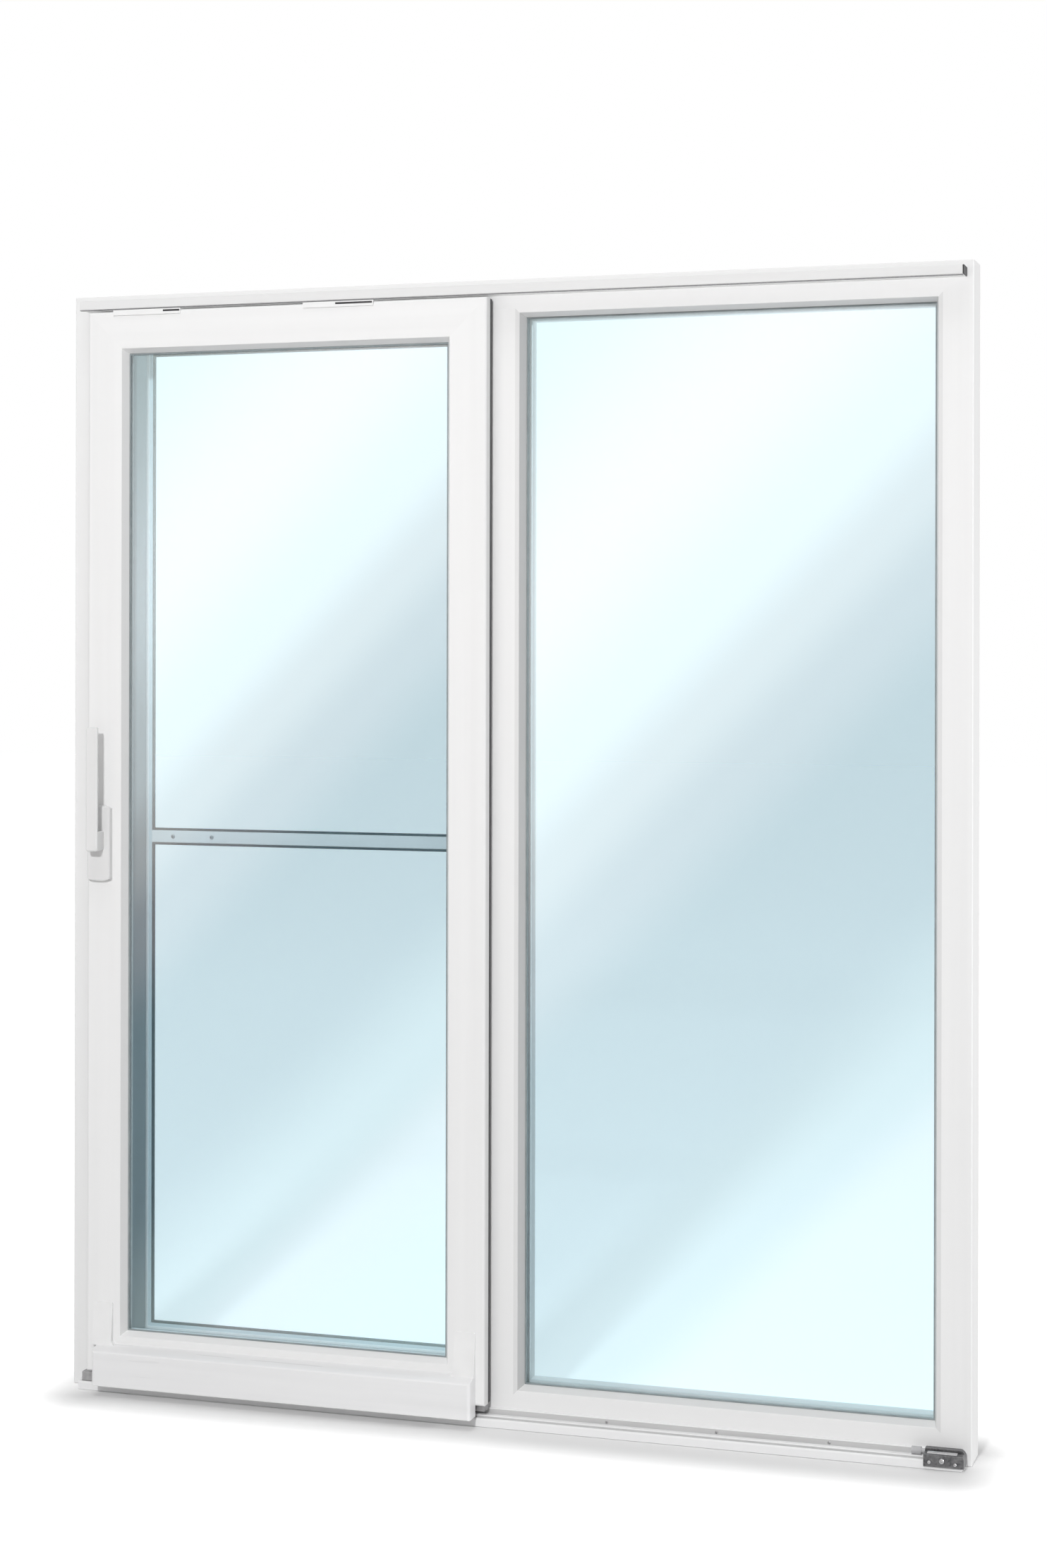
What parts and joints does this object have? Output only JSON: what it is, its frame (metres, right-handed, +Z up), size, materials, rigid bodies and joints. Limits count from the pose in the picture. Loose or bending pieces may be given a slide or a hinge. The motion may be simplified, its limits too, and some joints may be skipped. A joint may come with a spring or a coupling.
{
  "type": "glass sliding patio door",
  "caption": "White two-panel patio door: glazed sash with lever handle that slides on a floor rail in front of a fixed light, with a sliding insect screen outside.",
  "frame": {"origin": "middle of the sill's underside, halfway through the frame's depth", "axes": "+X to the right seen from the room, +Y outdoors, +Z up"},
  "size_m": [1.732, 0.1913, 2.1],
  "materials": {
    "white_pvc": "smooth white window plastic, satin",
    "white_fittings": "white moulded fittings, satin",
    "coated_aluminium": "white powder coat",
    "glass": "clear with a faint blue-green tint",
    "spacer": "grey spacer bar",
    "zinc": "dull grey die casting",
    "black_moulding": "dark moulded rollers, seals and plugs",
    "buffer": "pale grey buffer",
    "handle_white": "white enamel",
    "screen_frame": "pale grey powder coat",
    "mesh": "fine dark insect mesh"
  },
  "bodies": {
    "frame": {"left_jamb": "white_pvc", "right_jamb": "white_pvc", "sill": "white_pvc", "head": "white_pvc", "mullion": "white_pvc", "fixed_bead_left": "white_pvc", "fixed_bead_right": "white_pvc", "fixed_bead_bottom": "white_pvc", "fixed_bead_top": "white_pvc", "fixed_glass": "glass", "fixed_spacer": "spacer", "floor_rail": "coated_aluminium", "guide_rail": "coated_aluminium", "end_stop": "zinc", "stop_buffer": "buffer", "closing_catch": "zinc", "screen_track_bottom": "coated_aluminium", "screen_track_top": "coated_aluminium"},
    "sash": {"sash_left_stile": "white_pvc", "sash_right_stile": "white_pvc", "sash_bottom_rail": "white_pvc", "sash_top_rail": "white_pvc", "sash_bead_left": "white_pvc", "sash_bead_right": "white_pvc", "sash_bead_bottom": "white_pvc", "sash_bead_top": "white_pvc", "sash_glass": "glass", "sash_spacer": "spacer", "stay_left": "white_fittings", "stay_right": "white_fittings", "carriage_left": "zinc", "rollers_left": "black_moulding", "carriage_right": "zinc", "rollers_right": "black_moulding", "bottom_cover": "coated_aluminium", "cover_cap_left": "white_fittings", "cover_cap_right": "white_fittings", "handle_plate": "handle_white"},
    "handle": {"handle_lever": "handle_white"},
    "screen": {"screen_left_stile": "screen_frame", "screen_right_stile": "screen_frame", "screen_top_rail": "screen_frame", "screen_bottom_rail": "screen_frame", "screen_wheels": "black_moulding", "screen_mid_rail": "screen_frame", "screen_mesh": "mesh"}
  },
  "joints": [
    {"name": "sash_slide", "type": "slide", "parent": "frame", "child": "sash", "axis": [1, 0, 0], "range_m": [0, 0.775]},
    {"name": "handle_turn", "type": "hinge", "parent": "sash", "child": "handle", "pos_m": [-0.789, -0.1, 1.05], "axis": [0, 1, 0], "range_deg": [0, 180]},
    {"name": "screen_slide", "type": "slide", "parent": "frame", "child": "screen", "axis": [1, 0, 0], "range_m": [0, 0.79]}
  ]
}
